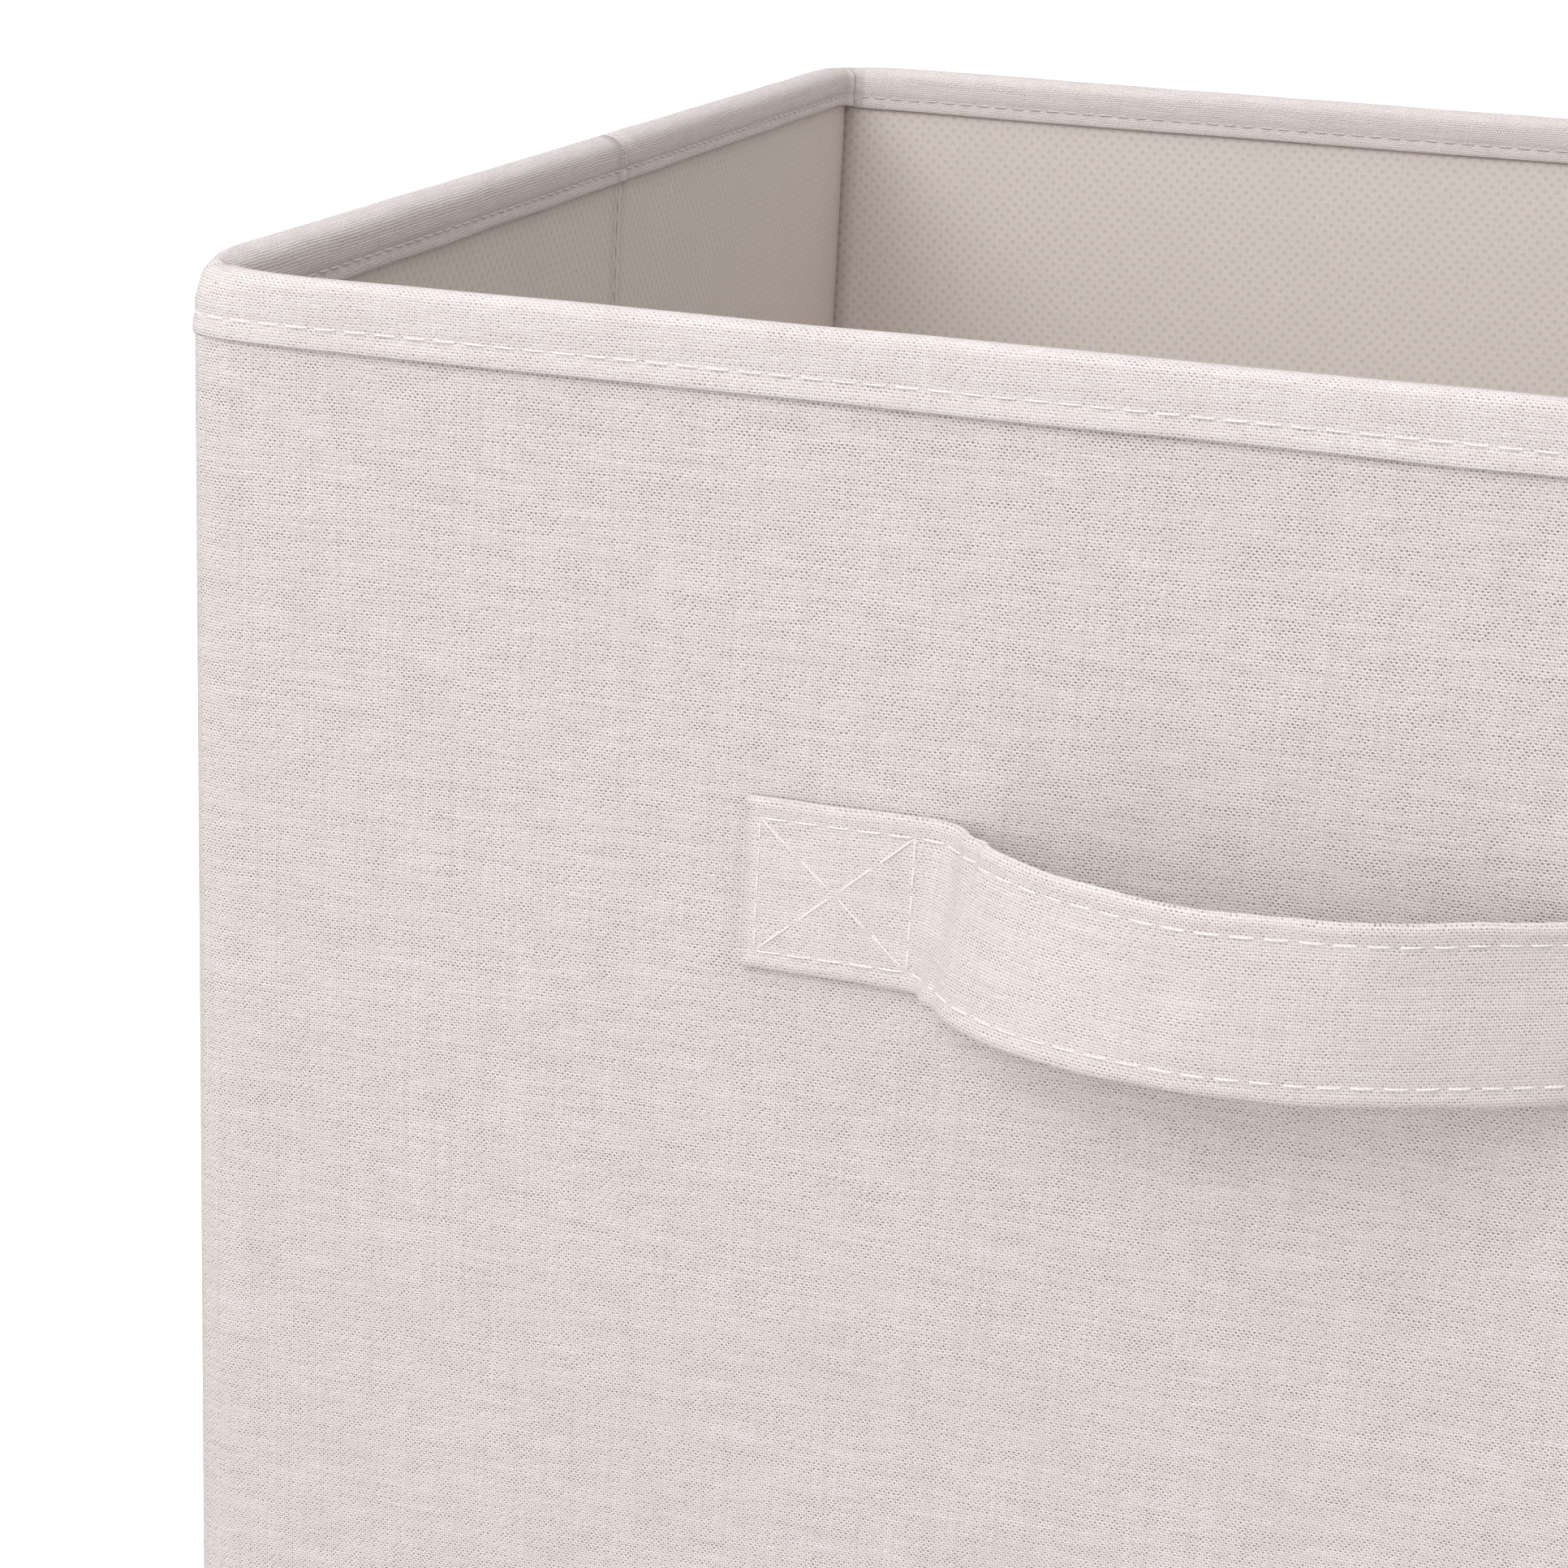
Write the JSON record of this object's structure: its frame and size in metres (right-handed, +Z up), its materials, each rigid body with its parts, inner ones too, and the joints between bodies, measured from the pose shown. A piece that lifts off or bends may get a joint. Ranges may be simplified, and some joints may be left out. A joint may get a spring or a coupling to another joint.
{
  "type": "fabric storage bin",
  "caption": "Open rectangular collapsible bin of cloth over stiff boards, with rim binding, a loose base and two cloth loop handles.",
  "frame": {"origin": "on the floor under the middle of the bin", "axes": "+X to the right along the front wall, +Y from the front wall to the back wall, +Z up"},
  "size_m": [0.332, 0.4278, 0.33],
  "materials": {
    "cover_cloth": "coarse plain weave, linen look, off-white with taupe gaps",
    "binding_cloth": "the cover's plain weave folded over the rim, topstitched in white",
    "handle_cloth": "the cover's plain weave folded to a strap, topstitched in white",
    "lining": "warm grey non-woven cloth with a fine embossed dot grid",
    "board": "grey fibreboard"
  },
  "bodies": {
    "front": {"front_cover": "cover_cloth", "front_board": "board", "front_lining": "lining", "front_binding": "binding_cloth", "front_handle_left_end": "handle_cloth", "front_handle_right_end": "handle_cloth", "floor_cover": "cover_cloth"},
    "left_front_half": {"left_front_cover": "cover_cloth", "left_front_board": "board", "left_front_lining": "lining", "left_front_binding": "binding_cloth"},
    "left_back_half": {"left_back_cover": "cover_cloth", "left_back_board": "board", "left_back_lining": "lining", "left_back_binding": "binding_cloth"},
    "right_front_half": {"right_front_cover": "cover_cloth", "right_front_board": "board", "right_front_lining": "lining", "right_front_binding": "binding_cloth"},
    "right_back_half": {"right_back_cover": "cover_cloth", "right_back_board": "board", "right_back_lining": "lining", "right_back_binding": "binding_cloth"},
    "back": {"back_cover": "cover_cloth", "back_board": "board", "back_lining": "lining", "back_binding": "binding_cloth", "back_handle_left_end": "handle_cloth", "back_handle_right_end": "handle_cloth"},
    "front_handle": {"front_handle_loop": "handle_cloth"},
    "back_handle": {"back_handle_loop": "handle_cloth"},
    "base_insert": {"insert_wrap": "lining", "insert_board": "board", "insert_backing": "lining"}
  },
  "joints": [
    {"name": "side_fold", "type": "hinge", "parent": "front", "child": "left_front_half", "pos_m": [-0.16, -0.185, 0], "axis": [0, 0, -1], "range_deg": [0, 88]},
    {"name": "left_crease", "type": "hinge", "parent": "left_front_half", "child": "left_back_half", "pos_m": [-0.1663, 0, 0], "axis": [0, 0, 1], "range_deg": [0, 166]},
    {"name": "left_back_corner", "type": "hinge", "parent": "left_back_half", "child": "back", "pos_m": [-0.16, 0.185, 0], "axis": [0, 0, -1], "range_deg": [0, 78]},
    {"name": "right_front_corner", "type": "hinge", "parent": "front", "child": "right_front_half", "pos_m": [0.16, -0.185, 0], "axis": [0, 0, 1], "range_deg": [0, 78]},
    {"name": "right_crease", "type": "hinge", "parent": "right_front_half", "child": "right_back_half", "pos_m": [0.1663, 0, 0], "axis": [0, 0, -1], "range_deg": [0, 166]},
    {"name": "front_handle_swing", "type": "hinge", "parent": "front", "child": "front_handle", "pos_m": [0, -0.1911, 0.25], "axis": [-1, 0, 0], "range_deg": [-18, 18], "stiffness_Nm_per_rad": 0.02},
    {"name": "back_handle_swing", "type": "hinge", "parent": "back", "child": "back_handle", "pos_m": [0, 0.1911, 0.25], "axis": [1, 0, 0], "range_deg": [-18, 18], "stiffness_Nm_per_rad": 0.02},
    {"name": "insert_lift", "type": "slide", "parent": "front", "child": "base_insert", "axis": [0, 0, 1], "range_m": [0, 0.34]}
  ],
  "couplings": [
    {"joint": "left_crease", "follows": "side_fold", "ratio": 1.8779},
    {"joint": "left_back_corner", "follows": "side_fold", "ratio": 0.87793},
    {"joint": "right_front_corner", "follows": "side_fold", "ratio": 0.87793},
    {"joint": "right_crease", "follows": "side_fold", "ratio": 1.8779}
  ]
}
